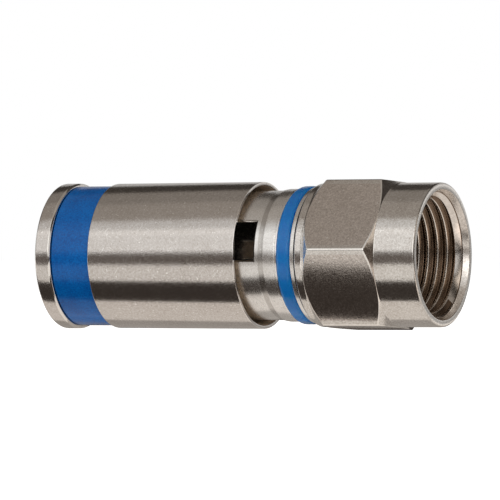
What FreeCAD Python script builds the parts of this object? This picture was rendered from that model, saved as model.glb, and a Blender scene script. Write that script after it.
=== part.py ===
import FreeCAD, Part

import os

import Sketcher

# Compression F connector for 7 mm coaxial cable, with a free coupling nut at the front and a
# compression sleeve that slides forward over the tube of the connector body.
#
# Frame: the connector's axis is X, and +X leaves the mouth of the nut. The origin is on the axis
# in the reference plane of the interface, which is the front face of the post's flange.
# Each piece is drawn from its own rear face, with stations along X and radii along Z.

# Driving dimensions: name, value in millimetres or degrees or a count, and what it is
driving_sizes = [
    # Coupling nut
    ("hex_across_flats", "11.11", "nut, across the flats of its hexagon"),
    ("hex_length", "6.02", "nut, between the feet of the two corner chamfers"),
    ("rear_chamfer_angle", "45", "nut, slope of the rear corner chamfers from the end face"),
    ("front_chamfer_angle", "30", "nut, slope of the front corner chamfers from the end face"),
    ("skirt_length", "0.63", "nut, round skirt behind the hexagon"),
    ("skirt_diameter", "11.00", "nut, round skirt"),
    ("collar_length", "3.30", "nut, round collar in front of the hexagon"),
    ("collar_diameter", "11.00", "nut, round collar"),
    ("skirt_edge", "0.14", "nut, chamfer on the outer edge of the skirt"),
    ("collar_edge", "0.17", "nut, chamfer on the outer edge of the collar"),
    ("thread_minor_diameter", "8.80", "nut, crest diameter of the 3/8-32 thread"),
    ("thread_major_diameter", "9.525", "nut, root diameter of the 3/8-32 thread"),
    ("mouth_diameter", "9.96", "nut, mouth at the front face"),
    ("mouth_floor_diameter", "9.72", "nut, mouth where the thread begins, past its root"),
    ("mouth_depth", "0.60", "nut, depth of the mouth in front of the thread"),
    ("thread_lead_angle", "30", "nut, slope of the first flank of the thread from the end face"),
    ("relief_clearance", "0.05", "nut, relief beyond the thread root, on the radius"),
    ("retaining_lip", "2.20", "nut, thickness of the lip held behind the post's flange"),
    ("seal_recess_start", "0.70", "nut, from the rear face to the inner seal's recess"),
    ("nut_turn", "3.8", "nut, its near corner turned up from level as it lies"),
    # Post
    ("post_length", "16.30", "post, from the barbed tip to the front face"),
    ("post_bore_diameter", "4.90", "post, bore for the cable's dielectric"),
    ("post_tube_diameter", "5.60", "post, outside of the thin tube"),
    ("barb_diameter", "6.20", "post, over the barbs"),
    ("barb_pitch", "1.10", "post, length of one barb"),
    ("barb_count", "2", "post, number of barbs"),
    ("tip_diameter", "5.10", "post, sharp edge at the tip"),
    ("neck_diameter", "6.60", "post, land pressed into the body and running in the nut"),
    ("neck_length", "4.80", "post, land from the back of the flange"),
    ("neck_lead", "0.30", "post, lead chamfer at the back of the land"),
    ("flange_diameter", "8.30", "post, flange that holds the nut"),
    ("flange_length", "1.00", "post, thickness of the flange"),
    ("flange_edge", "0.12", "post, chamfer on the flange's front edge"),
    # Connector body
    ("body_length", "12.08", "body, from the rear end to the front face"),
    ("tube_wall", "0.62", "body, wall of the tube round the bore for the jacket and braid"),
    ("bore_depth", "9.50", "body, depth of the bore from the rear end"),
    ("bore_lead", "0.28", "body, lead chamfer at the rear end of the bore"),
    ("bead_length", "1.20", "body, guide bead at the rear end"),
    ("bead_edge", "0.25", "body, chamfers on the guide bead"),
    ("shoulder_rise", "0.12", "body, shoulder behind the outer seal above the tube"),
    ("shoulder_length", "1.32", "body, shoulder behind the outer seal"),
    ("shoulder_taper", "0.55", "body, taper from the tube up to the shoulder"),
    ("shoulder_edge", "0.08", "body, edge breaks beside the outer seal"),
    ("seal_groove_width", "1.17", "body, groove of the outer seal"),
    ("seal_groove_depth", "0.54", "body, depth of that groove below the shoulder"),
    ("front_wall_length", "0.33", "body, wall in front of the outer seal"),
    ("front_wall_rise", "0.16", "body, wall in front of the outer seal above the shoulder"),
    ("window_length", "2.80", "body, window along the axis"),
    ("window_width", "3.07", "body, window across"),
    ("window_count", "2", "body, windows round the tube"),
    ("window_setback", "3.445", "body, from the front face back to the windows"),
    ("window_turn", "13.7", "body, its near window turned up from level as it lies"),
    # Outer seal
    ("outer_seal_rise", "0.05", "outer seal ring above the body's front wall"),
    ("outer_seal_edge", "0.28", "outer seal ring, slope on its outer edges"),
    # Inner seal
    ("inner_seal_section", "0.76", "inner seal ring, side of its square section"),
    # Compression sleeve
    ("sleeve_length", "17.00", "sleeve, overall"),
    ("sleeve_diameter", "11.20", "sleeve, rear end of the barrel"),
    ("lip_rise", "0.04", "sleeve, rear lip above the rear end of the barrel"),
    ("rim_flare", "0.045", "sleeve, front rim above the rear end of the barrel"),
    ("sleeve_wall", "0.35", "sleeve, wall of the barrel round the front bore"),
    ("seat_wall", "0.85", "sleeve, wall round the seat of the ferrule"),
    ("rear_lip_length", "1.26", "sleeve, lip behind the colour band"),
    ("sleeve_edge", "0.14", "sleeve, chamfers on the lip and beside the band"),
    ("rim_lead", "0.15", "sleeve, flare of its bore at the front rim, on the radius"),
    ("rim_lead_length", "0.80", "sleeve, length of that flare"),
    ("sleeve_bore_depth", "10.80", "sleeve, depth of the front bore"),
    ("entry_lip_height", "0.40", "sleeve, inward lip that backs the ferrule"),
    ("entry_lip_length", "0.80", "sleeve, thickness of that lip"),
    ("entry_lead", "0.25", "sleeve, chamfer at the rear opening"),
    # Colour band
    ("band_groove_width", "3.28", "sleeve, groove of the colour band"),
    ("band_sink", "0.19", "colour band, outside below the barrel"),
    ("band_thickness", "0.25", "colour band, on the radius"),
    ("band_edge", "0.06", "colour band, chamfers on its outer edges"),
    # Grip ferrule
    ("nose_thickness", "0.40", "ferrule, wall of the nose round the cable's jacket"),
    ("nose_length", "2.70", "ferrule, nose in front of the sleeve's rear bore"),
    ("nose_taper", "0.60", "ferrule, tapered tip of the nose"),
    ("nose_wall", "0.18", "ferrule, wall left at the tip of the nose"),
    ("ferrule_lead", "0.30", "ferrule, chamfer at the rear of its bore"),
    ("grip_groove_depth", "0.08", "ferrule, grooves that grip the jacket"),
    ("grip_groove_width", "0.35", "ferrule, width of one groove"),
    ("grip_groove_pitch", "1.60", "ferrule, from groove to groove"),
    ("grip_groove_count", "2", "ferrule, number of grooves"),
    ("grip_groove_start", "1.60", "ferrule, from the rear face to the first groove"),
    # Fits and travel
    ("sleeve_travel", "3.25", "slide of the sleeve until it stops before the outer seal"),
    ("stop_gap", "0.13", "left between the rim and the seal groove at full travel"),
    ("tube_gap", "0.28", "between the body's tube and the sleeve's bore, on the radius"),
    ("guide_clearance", "0.05", "guide bead in the sleeve, on the radius"),
    ("nose_clearance", "0.10", "ferrule's nose in the body's bore, on the radius"),
    ("nut_clearance", "0.15", "nut's lip on the post's neck, on the radius"),
    ("nut_front_gap", "0.15", "between the nut's lip and the back of the post's flange"),
    ("nut_rear_gap", "0.17", "between the nut's rear face and the body's front face"),
    ("seal_clearance", "0.02", "seals and band in their grooves, on each side"),
    ("band_gap", "0.03", "left between the sleeve's lip and the colour band"),
]

doc = FreeCAD.newDocument("f_connector")
sheet = doc.addObject("Spreadsheet::Sheet", "Sizes")
for row, (alias, value, meaning) in enumerate(driving_sizes, start=1):
    sheet.set("A" + str(row), meaning)
    sheet.set("B" + str(row), value)
    sheet.setAlias("B" + str(row), alias)
doc.recompute()


def value_of(expression):
    """Number that an expression over the sheet gives."""
    result = sheet.evalExpression(expression)
    return float(getattr(result, "Value", result))


def new_piece(name):
    """Body of one piece, labelled with the name of its file."""
    piece = doc.addObject("PartDesign::Body", name)
    piece.Label = name
    return piece


def origin_plane(piece, role):
    """One of the base planes of a piece, found by its role."""
    for feature in piece.Origin.OriginFeatures:
        if feature.Role == role:
            return feature
    raise ValueError("no plane " + role + " in " + piece.Name)


def new_sketch(piece, name, role):
    """Empty sketch on one of the base planes of a piece."""
    sketch = piece.newObject("Sketcher::SketchObject", name)
    sketch.AttachmentSupport = [(origin_plane(piece, role), "")]
    sketch.MapMode = "FlatFace"
    return sketch


def bind(sketch, kind, line, expression, label):
    """Hold the start of a line at a signed distance from the sketch's origin."""
    if expression == "0":
        axis = -2 if kind == "DistanceX" else -1
        sketch.addConstraint(Sketcher.Constraint("PointOnObject", line, 1, axis))
        return
    number = value_of(expression)
    index = sketch.addConstraint(Sketcher.Constraint(kind, -1, 1, line, 1, number))
    sketch.renameConstraint(index, label)
    sketch.setExpression("Constraints." + label, expression)


def outline(piece, name, corners, role="XZ_Plane"):
    """Closed outline through corners, each a pair of expressions: station and radius."""
    sketch = new_sketch(piece, name, role)
    places = [FreeCAD.Vector(value_of(along), value_of(out), 0) for along, out in corners]
    count = len(places)
    for line in range(count):
        following = places[(line + 1) % count]
        sketch.addGeometry(Part.LineSegment(places[line], following), False)
    for line in range(count):
        following = (line + 1) % count
        sketch.addConstraint(Sketcher.Constraint("Coincident", line, 2, following, 1))
    for line, (along, out) in enumerate(corners):
        bind(sketch, "DistanceX", line, along, "station_" + str(line))
        bind(sketch, "DistanceY", line, out, "radius_" + str(line))
    return sketch


def turn(piece, name, sketch, kind="PartDesign::Revolution"):
    """Full turn of an outline about the axis, as new material or as a cut."""
    feature = piece.newObject(kind, name)
    feature.Profile = sketch
    feature.ReferenceAxis = (sketch, ["H_Axis"])
    feature.Angle = 360
    doc.recompute()
    return feature


def cut_by_turning(piece, name, corners):
    """Material turned away inside an outline, compared before and after."""
    before = piece.Shape.Volume
    feature = turn(piece, name, outline(piece, name + "_outline", corners), "PartDesign::Groove")
    if feature.Shape.Volume >= before:
        raise ValueError(name + " cuts nothing")
    return feature


def repeat(piece, name, feature, kind, set_up):
    """Pattern of one feature, which becomes the tip of its piece."""
    pattern = piece.newObject(kind, name)
    pattern.Originals = [feature]
    set_up(pattern)
    piece.Tip = pattern
    doc.recompute()
    return pattern


def place(piece, station, angle=None):
    """Put a piece at a station on the axis, and turn its near side (-Y) upwards by an angle."""
    base = FreeCAD.Vector(value_of(station), 0, 0)
    piece.Placement = FreeCAD.Placement(base, FreeCAD.Rotation())
    piece.setExpression("Placement.Base.x", station)
    if angle:
        turned = FreeCAD.Rotation(FreeCAD.Vector(-1, 0, 0), value_of(angle))
        piece.Placement = FreeCAD.Placement(base, turned)
        piece.setExpression("Placement.Rotation.Angle", angle)


# Stations of the pieces on the common axis, from the reference plane backwards
NUT_REAR = "-(Sizes.flange_length + Sizes.nut_front_gap + Sizes.retaining_lip)"
BODY_FRONT = NUT_REAR + " - Sizes.nut_rear_gap"
BODY_REAR = BODY_FRONT + " - Sizes.body_length"
SEAL_GROOVE_FRONT = BODY_FRONT + " - Sizes.front_wall_length"
SEAL_GROOVE_REAR = SEAL_GROOVE_FRONT + " - Sizes.seal_groove_width"
SLEEVE_REAR = SEAL_GROOVE_REAR + " - Sizes.stop_gap - Sizes.sleeve_travel - Sizes.sleeve_length"


# Radii that pieces share, from the sleeve's barrel inwards
BARREL = "Sizes.sleeve_diameter / 2"
SLEEVE_BORE = BARREL + " - Sizes.sleeve_wall"
TUBE = SLEEVE_BORE + " - Sizes.tube_gap"
SHOULDER = TUBE + " + Sizes.shoulder_rise"
SEAL_FLOOR = SHOULDER + " - Sizes.seal_groove_depth"
FRONT_WALL = SHOULDER + " + Sizes.front_wall_rise"
BODY_BORE = TUBE + " - Sizes.tube_wall"
FERRULE_SEAT = BARREL + " - Sizes.seat_wall"
BAND_OUTSIDE = BARREL + " - Sizes.band_sink"
BAND_INSIDE = BAND_OUTSIDE + " - Sizes.band_thickness"
NECK = "Sizes.neck_diameter / 2"


def make_post():
    """Turned post: barbed tube for the braid, pressed land, and the flange that holds the nut."""
    post = new_piece("post")
    bore = "Sizes.post_bore_diameter / 2"
    tube = "Sizes.post_tube_diameter / 2"
    barb = "Sizes.barb_diameter / 2"
    flange = "Sizes.flange_diameter / 2"
    flange_back = "Sizes.post_length - Sizes.flange_length"
    neck_back = flange_back + " - Sizes.neck_length"
    corners = [("0", bore), ("0", "Sizes.tip_diameter / 2")]
    for number in range(int(sheet.barb_count)):
        crest = "Sizes.barb_pitch * " + str(number + 1)
        corners.append((crest, barb))
        corners.append((crest, tube))
    corners += [
        (neck_back, tube),
        (neck_back + " + Sizes.neck_lead", NECK),
        (flange_back, NECK),
        (flange_back, flange),
        ("Sizes.post_length - Sizes.flange_edge", flange),
        ("Sizes.post_length", flange + " - Sizes.flange_edge"),
        ("Sizes.post_length", bore),
    ]
    turn(post, "post_turning", outline(post, "post_outline", corners))
    place(post, "-Sizes.post_length")
    return post


def make_connector_body():
    """Turned body: guide bead, thin tube with its windows, shoulder and outer seal groove."""
    body = new_piece("connector_body")
    bead = SLEEVE_BORE + " - Sizes.guide_clearance"
    groove_front = "Sizes.body_length - Sizes.front_wall_length"
    groove_back = groove_front + " - Sizes.seal_groove_width"
    shoulder_back = groove_back + " - Sizes.shoulder_length"
    corners = [
        ("0", BODY_BORE + " + Sizes.bore_lead"),
        ("0", bead + " - Sizes.bead_edge"),
        ("Sizes.bead_edge", bead),
        ("Sizes.bead_length - Sizes.bead_edge", bead),
        ("Sizes.bead_length", TUBE),
        (shoulder_back + " - Sizes.shoulder_taper", TUBE),
        (shoulder_back, SHOULDER),
        (groove_back + " - Sizes.shoulder_edge", SHOULDER),
        (groove_back, SHOULDER + " - Sizes.shoulder_edge"),
        (groove_back, SEAL_FLOOR),
        (groove_front, SEAL_FLOOR),
        (groove_front, FRONT_WALL + " - Sizes.shoulder_edge"),
        (groove_front + " + Sizes.shoulder_edge", FRONT_WALL),
        ("Sizes.body_length - Sizes.shoulder_edge", FRONT_WALL),
        ("Sizes.body_length", FRONT_WALL + " - Sizes.shoulder_edge"),
        ("Sizes.body_length", NECK),
        ("Sizes.bore_depth", NECK),
        ("Sizes.bore_depth", BODY_BORE),
        ("Sizes.bore_lead", BODY_BORE),
    ]
    turn(body, "body_turning", outline(body, "body_outline", corners))

    # One window is milled through the wall, and the others follow round the tube
    front = "Sizes.body_length - Sizes.window_setback"
    back = front + " - Sizes.window_length"
    low = "-Sizes.window_width / 2"
    high = "Sizes.window_width / 2"
    before = body.Shape.Volume
    frame = outline(body, "window_outline", [(back, low), (front, low), (front, high), (back, high)])
    window = body.newObject("PartDesign::Pocket", "window")
    window.Profile = frame
    window.Type = "Length"
    window.setExpression("Length", SLEEVE_BORE)
    window.Reversed = True
    doc.recompute()

    def round_the_tube(pattern):
        pattern.Axis = (frame, ["H_Axis"])
        pattern.Angle = 360
        pattern.setExpression("Occurrences", "Sizes.window_count")

    windows = repeat(body, "windows", window, "PartDesign::PolarPattern", round_the_tube)
    if windows.Shape.Volume >= before:
        raise ValueError("the windows cut nothing")
    place(body, BODY_REAR, "Sizes.window_turn")
    return body


def make_outer_seal():
    """Coloured seal ring in the body's groove, with sloped outer edges."""
    seal = new_piece("outer_seal_ring")
    outside = FRONT_WALL + " + Sizes.outer_seal_rise"
    width = "(Sizes.seal_groove_width - 2 * Sizes.seal_clearance)"
    corners = [
        ("0", SEAL_FLOOR),
        (width, SEAL_FLOOR),
        (width, outside + " - Sizes.outer_seal_edge"),
        (width + " - Sizes.outer_seal_edge", outside),
        ("Sizes.outer_seal_edge", outside),
        ("0", outside + " - Sizes.outer_seal_edge"),
    ]
    turn(seal, "seal_turning", outline(seal, "seal_outline", corners))
    place(seal, SEAL_GROOVE_REAR + " + Sizes.seal_clearance")
    return seal


def make_coupling_nut():
    """Nut turned from hexagon bar, with chamfered corners, a retaining lip and a tapped socket."""
    nut = new_piece("coupling_nut")
    length = "(Sizes.skirt_length + Sizes.hex_length + Sizes.collar_length)"

    # The bar: a regular hexagon on its construction circle, with two flats level
    bar_outline = new_sketch(nut, "bar_outline", "YZ_Plane")
    flat = value_of("Sizes.hex_across_flats / 2")
    corner_angles = range(0, 360, 60)
    turned = [FreeCAD.Rotation(FreeCAD.Vector(0, 0, 1), angle) for angle in corner_angles]
    reach = FreeCAD.Vector(value_of("Sizes.hex_across_flats / 2 / cos(30)"), 0, 0)
    corners = [rotation.multVec(reach) for rotation in turned]
    for number, corner in enumerate(corners):
        following = corners[(number + 1) % len(corners)]
        bar_outline.addGeometry(Part.LineSegment(corner, following), False)
    centre = FreeCAD.Vector(0, 0, 0)
    upright = FreeCAD.Vector(0, 0, 1)
    guide = bar_outline.addGeometry(Part.Circle(centre, upright, reach.x), True)
    bar_outline.addConstraint(Sketcher.Constraint("Coincident", guide, 3, -1, 1))
    for number in range(len(corners)):
        following = (number + 1) % len(corners)
        bar_outline.addConstraint(Sketcher.Constraint("Coincident", number, 2, following, 1))
        bar_outline.addConstraint(Sketcher.Constraint("PointOnObject", number, 1, guide))
        if number:
            bar_outline.addConstraint(Sketcher.Constraint("Equal", 0, number))
    bar_outline.addConstraint(Sketcher.Constraint("PointOnObject", 0, 1, -1))
    top_flat = 1
    height = Sketcher.Constraint("DistanceY", -1, 1, top_flat, 1, flat)
    index = bar_outline.addConstraint(height)
    bar_outline.renameConstraint(index, "half_across_flats")
    bar_outline.setExpression("Constraints.half_across_flats", "Sizes.hex_across_flats / 2")
    bar = nut.newObject("PartDesign::Pad", "hexagon_bar")
    bar.Profile = bar_outline
    bar.setExpression("Length", length)
    doc.recompute()

    # Skirt and collar are turned down, and the cutter's slope leaves the chamfered corners.
    # What is cut reaches out to a radius as large as the bar is wide, past every corner
    beyond = "Sizes.hex_across_flats"
    rear_slope = "tan(Sizes.rear_chamfer_angle)"
    front_slope = "tan(Sizes.front_chamfer_angle)"
    skirt = "Sizes.skirt_diameter / 2"
    collar = "Sizes.collar_diameter / 2"
    hex_front = "(Sizes.skirt_length + Sizes.hex_length)"
    cut_by_turning(nut, "skirt_turning", [
        ("0", skirt + " - Sizes.skirt_edge"),
        ("Sizes.skirt_edge", skirt),
        ("Sizes.skirt_length", skirt),
        ("Sizes.skirt_length + (" + beyond + " - " + skirt + ") * " + rear_slope, beyond),
        ("0", beyond),
    ])
    cut_by_turning(nut, "collar_turning", [
        (length, collar + " - Sizes.collar_edge"),
        (length + " - Sizes.collar_edge", collar),
        (hex_front, collar),
        (hex_front + " - (" + beyond + " - " + collar + ") * " + front_slope, beyond),
        (length, beyond),
    ])

    # Lip bore with the inner seal's recess, thread relief, tapping bore and mouth.
    # The relief ends where the thread starts, level with the front face of the post's flange
    lip_bore = NECK + " + Sizes.nut_clearance"
    recess = NECK + " + Sizes.inner_seal_section + 2 * Sizes.seal_clearance"
    recess_back = "Sizes.seal_recess_start"
    recess_front = "Sizes.seal_recess_start + Sizes.inner_seal_section + 2 * Sizes.seal_clearance"
    crest = "Sizes.thread_minor_diameter / 2"
    relief = "Sizes.thread_major_diameter / 2 + Sizes.relief_clearance"
    thread_start = "Sizes.retaining_lip + Sizes.nut_front_gap + Sizes.flange_length"
    mouth_floor = "Sizes.mouth_floor_diameter / 2"
    thread_lead = "(" + mouth_floor + " - " + crest + ") * tan(Sizes.thread_lead_angle)"
    cut_by_turning(nut, "socket_boring", [
        ("0", "0"),
        ("0", lip_bore),
        (recess_back, lip_bore),
        (recess_back, recess),
        (recess_front, recess),
        (recess_front, lip_bore),
        ("Sizes.retaining_lip", lip_bore),
        ("Sizes.retaining_lip", relief),
        (thread_start + " - (" + relief + " - " + crest + ")", relief),
        (thread_start, crest),
        (length + " - Sizes.mouth_depth - " + thread_lead, crest),
        (length + " - Sizes.mouth_depth", mouth_floor),
        (length, "Sizes.mouth_diameter / 2"),
        (length, "0"),
    ])
    place(nut, NUT_REAR, "Sizes.nut_turn")
    return nut


def make_inner_seal():
    """Square-section ring in the nut's lip, sealing it on the post's neck."""
    seal = new_piece("inner_seal_ring")
    inside = NECK + " + Sizes.seal_clearance"
    outside = inside + " + Sizes.inner_seal_section"
    width = "Sizes.inner_seal_section"
    corners = [("0", inside), (width, inside), (width, outside), ("0", outside)]
    turn(seal, "seal_turning", outline(seal, "seal_outline", corners))
    place(seal, NUT_REAR + " + Sizes.seal_recess_start + Sizes.seal_clearance")
    return seal


def make_sleeve():
    """Compression sleeve: plain barrel over the body, with the band's groove and a rear lip."""
    sleeve = new_piece("compression_sleeve")
    lip = BARREL + " + Sizes.lip_rise"
    rim = BARREL + " + Sizes.rim_flare"
    groove_front = "Sizes.rear_lip_length + Sizes.band_groove_width"
    entry = FERRULE_SEAT + " - Sizes.entry_lip_height"
    seat_front = "Sizes.sleeve_length - Sizes.sleeve_bore_depth"
    corners = [
        ("0", entry + " + Sizes.entry_lead"),
        ("0", lip + " - Sizes.sleeve_edge"),
        ("Sizes.sleeve_edge", lip),
        ("Sizes.rear_lip_length - Sizes.sleeve_edge", lip),
        ("Sizes.rear_lip_length", lip + " - Sizes.sleeve_edge"),
        ("Sizes.rear_lip_length", BAND_INSIDE),
        (groove_front, BAND_INSIDE),
        (groove_front, BARREL + " - Sizes.sleeve_edge / 2"),
        (groove_front + " + Sizes.sleeve_edge / 2", BARREL),
        ("Sizes.sleeve_length", rim),
        ("Sizes.sleeve_length", SLEEVE_BORE + " + Sizes.rim_lead"),
        ("Sizes.sleeve_length - Sizes.rim_lead_length", SLEEVE_BORE),
        (seat_front, SLEEVE_BORE),
        (seat_front, FERRULE_SEAT),
        ("Sizes.entry_lip_length", FERRULE_SEAT),
        ("Sizes.entry_lip_length", entry),
        ("Sizes.entry_lead", entry),
    ]
    turn(sleeve, "sleeve_turning", outline(sleeve, "sleeve_outline", corners))
    place(sleeve, SLEEVE_REAR)
    return sleeve


def make_colour_band():
    """Plastic band snapped into the sleeve's groove, which marks the cable size."""
    band = new_piece("colour_band")
    width = "(Sizes.band_groove_width - Sizes.band_gap - Sizes.seal_clearance)"
    corners = [
        ("0", BAND_INSIDE),
        (width, BAND_INSIDE),
        (width, BAND_OUTSIDE + " - Sizes.band_edge"),
        (width + " - Sizes.band_edge", BAND_OUTSIDE),
        ("Sizes.band_edge", BAND_OUTSIDE),
        ("0", BAND_OUTSIDE + " - Sizes.band_edge"),
    ]
    turn(band, "band_turning", outline(band, "band_outline", corners))
    place(band, SLEEVE_REAR + " + Sizes.rear_lip_length + Sizes.band_gap")
    return band


def make_grip_ferrule():
    """Plastic ferrule held in the sleeve: its nose is driven into the body, round the jacket."""
    ferrule = new_piece("grip_ferrule")
    nose = BODY_BORE + " - Sizes.nose_clearance"
    bore = nose + " - Sizes.nose_thickness"
    seated = "(Sizes.sleeve_length - Sizes.sleeve_bore_depth - Sizes.entry_lip_length)"
    tip = "(" + seated + " + Sizes.nose_length)"
    corners = [
        ("0", bore + " + Sizes.ferrule_lead"),
        ("0", FERRULE_SEAT),
        (seated, FERRULE_SEAT),
        (seated, nose),
        (tip + " - Sizes.nose_taper", nose),
        (tip, bore + " + Sizes.nose_wall"),
        (tip, bore),
        ("Sizes.ferrule_lead", bore),
    ]
    turn(ferrule, "ferrule_turning", outline(ferrule, "ferrule_outline", corners))
    start = "Sizes.grip_groove_start"
    stop = "Sizes.grip_groove_start + Sizes.grip_groove_width"
    middle = "Sizes.grip_groove_start + Sizes.grip_groove_width / 2"
    inside = bore + " - Sizes.grip_groove_depth"
    deep = bore + " + Sizes.grip_groove_depth"
    groove = cut_by_turning(ferrule, "grip_groove", [
        (start, inside),
        (start, bore),
        (middle, deep),
        (stop, bore),
        (stop, inside),
    ])
    grooves_end = "Sizes.grip_groove_pitch * (Sizes.grip_groove_count - 1)"

    def along_the_bore(pattern):
        pattern.Direction = (groove.Profile[0], ["H_Axis"])
        pattern.setExpression("Length", grooves_end)
        pattern.setExpression("Occurrences", "Sizes.grip_groove_count")

    repeat(ferrule, "grip_grooves", groove, "PartDesign::LinearPattern", along_the_bore)
    place(ferrule, SLEEVE_REAR + " + Sizes.entry_lip_length")
    return ferrule


pieces = [
    make_connector_body(),
    make_post(),
    make_outer_seal(),
    make_coupling_nut(),
    make_inner_seal(),
    make_sleeve(),
    make_colour_band(),
    make_grip_ferrule(),
]
doc.recompute()

for item in doc.Objects:
    if "Invalid" in item.State or "Error" in item.State:
        raise ValueError(item.Name + " did not recompute")
for piece in pieces:
    if piece.Shape.isNull() or not piece.Shape.isValid():
        raise ValueError(piece.Label + " has no valid shape")

os.makedirs("parts", exist_ok=True)
for piece in pieces:
    piece.Shape.exportStep(os.path.join("parts", piece.Label + ".step"))
    box = piece.Shape.BoundBox
    reach = "x %.2f to %.2f, radius %.3f" % (box.XMin, box.XMax, max(box.YMax, box.ZMax))
    print(piece.Label, reach, "volume %.2f" % piece.Shape.Volume)
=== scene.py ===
# %% [markdown]
# # A compression F connector, dressed in Blender
#
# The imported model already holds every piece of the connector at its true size. This lesson gives
# those pieces the edges, the thread and the finishes that a close photograph shows: satin nickel
# on the nut and the sleeve, brighter nickel on the body, a blue band and a blue seal ring.
#
# The connector's axis is X and the nut's mouth looks along +X. Everything is in metres.

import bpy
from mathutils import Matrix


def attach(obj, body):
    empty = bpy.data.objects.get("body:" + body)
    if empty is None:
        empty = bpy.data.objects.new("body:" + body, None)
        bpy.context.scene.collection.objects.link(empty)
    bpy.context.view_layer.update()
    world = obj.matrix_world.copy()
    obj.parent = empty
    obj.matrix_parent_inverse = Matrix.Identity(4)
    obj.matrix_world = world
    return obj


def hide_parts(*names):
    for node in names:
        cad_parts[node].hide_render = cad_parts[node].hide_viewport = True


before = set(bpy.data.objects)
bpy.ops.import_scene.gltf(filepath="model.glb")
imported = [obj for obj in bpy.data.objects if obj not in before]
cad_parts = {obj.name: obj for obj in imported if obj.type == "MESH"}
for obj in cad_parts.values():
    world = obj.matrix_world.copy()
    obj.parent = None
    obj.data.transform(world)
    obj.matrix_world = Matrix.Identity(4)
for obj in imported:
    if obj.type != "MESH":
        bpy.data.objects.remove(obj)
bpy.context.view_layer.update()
print("nodes:", ", ".join(sorted(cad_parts)))

# %% [markdown]
# ## The camera
#
# The photograph was taken from the side, turned towards the nut so that the thread shows in its
# mouth. The ellipse of the mouth gives that turn: its width over its height is the sine of the
# angle. The lens is long, so parallel edges hardly draw together, and a view from 0.48 m matches
# how little the far end shrinks. Such a camera could be placed by eye in the viewport; numbers
# that were measured once are easier to keep.

# %% Camera
import math

import bpy
from mathutils import Matrix, Quaternion, Vector

MM = 0.001
VIEW_TURN = math.radians(25.7)
VIEW_DISTANCE = 480 * MM
VIEW_TARGET = Vector((-9.65, 0, 0.42)) * MM
PIXELS_PER_MM = 13.0
FRAME_PIXELS = 500
CAMERA_ROLL = math.radians(0.2)

towards_camera = Vector((math.sin(VIEW_TURN), -math.cos(VIEW_TURN), 0))
camera_data = bpy.data.cameras.new("studio_camera")
camera = bpy.data.objects.new("studio_camera", camera_data)
bpy.context.scene.collection.objects.link(camera)
camera.location = VIEW_TARGET + towards_camera * VIEW_DISTANCE
camera.rotation_mode = "QUATERNION"
level = (-towards_camera).to_track_quat("-Z", "Y")
camera.rotation_quaternion = Quaternion(-towards_camera, CAMERA_ROLL) @ level
camera_data.sensor_width = 36
camera_data.lens = PIXELS_PER_MM * 1000 * VIEW_DISTANCE * camera_data.sensor_width / FRAME_PIXELS
camera_data.clip_start = 0.01
camera_data.clip_end = 5
bpy.context.scene.camera = camera
print("lens: %.1f mm" % camera_data.lens)

# %% [markdown]
# ## Turned pieces
#
# Nearly every piece here comes off a lathe. On the real part a tool follows a profile while the
# metal spins. The same idea makes the mesh: a closed profile of stations along the axis and radii
# is carried round the axis. Blender's Screw modifier could spin a drawn curve too, but building
# the columns directly lets later pieces bend the rule, as the hexagon and the thread do.
#
# No real edge is perfectly sharp, and a tiny rounding is what catches the light. So each corner
# of a profile has its own edge radius, and a short curve replaces the corner.

# %% Profiles with rounded corners
LONGEST_REACH = 0.45


def rounded(corners, steps=4, closed=True):
    """Profile points (mm) from corners (station, radius, edge radius), with each edge eased."""
    points = []
    count = len(corners)
    for number, (station, radius, ease) in enumerate(corners):
        here = Vector((station, radius))
        before = Vector(corners[number - 1][:2]) - here
        after = Vector(corners[(number + 1) % count][:2]) - here
        loose_end = not closed and number in (0, count - 1)
        reach = min(ease, LONGEST_REACH * before.length, LONGEST_REACH * after.length)
        for step in range(steps + 1):
            t = step / steps
            if loose_end or ease == 0:
                points.append((station, radius))
                if ease == 0:
                    break
                continue
            start = here + before.normalized() * reach
            end = here + after.normalized() * reach
            point = start * (1 - t) ** 2 + here * 2 * t * (1 - t) + end * t ** 2
            points.append((point.x, point.y))
    return points


square = [(0, 1, 0.2), (1, 1, 0.2), (1, 2, 0.2), (0, 2, 0.2)]
print("points of a rounded square:", len(rounded(square)))

# %% [markdown]
# ## Turned pieces: a clean mesh
#
# A polished turned part shows no facets, but its edges stay crisp. Smooth shading alone would
# smear light across the edges, and flat shading would show every facet. So faces that meet gently
# are shaded smooth, and the rest stay sharp. Points that coincide are welded first.

# %% Points round the axis and clean meshes
import bmesh

SHARP_ANGLE = math.radians(32)
WELD = 2e-7


def around(station, radius, angle):
    """Point in space: the angle starts at the near side (-Y) and turns upwards."""
    return (station * MM, -radius * math.cos(angle) * MM, radius * math.sin(angle) * MM)


def as_object(name, points, faces):
    """Object made of points and faces, linked into the scene."""
    mesh = bpy.data.meshes.new(name)
    mesh.from_pydata(points, [], faces)
    mesh.validate()
    piece = bpy.data.objects.new(name, mesh)
    bpy.context.scene.collection.objects.link(piece)
    return piece


def finish_mesh(piece):
    """Weld what coincides, turn the faces outwards and shade smooth up to the sharp angle."""
    shaped = bmesh.new()
    shaped.from_mesh(piece.data)
    bmesh.ops.remove_doubles(shaped, verts=shaped.verts, dist=WELD)
    bmesh.ops.dissolve_degenerate(shaped, edges=shaped.edges, dist=WELD)
    bmesh.ops.recalc_face_normals(shaped, faces=shaped.faces)
    shaped.to_mesh(piece.data)
    shaped.free()
    piece.data.shade_smooth()
    piece.data.set_sharp_from_angle(angle=SHARP_ANGLE)
    print(piece.name, "faces:", len(piece.data.polygons))


print("edges stay sharp above", round(math.degrees(SHARP_ANGLE)), "degrees")

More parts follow.
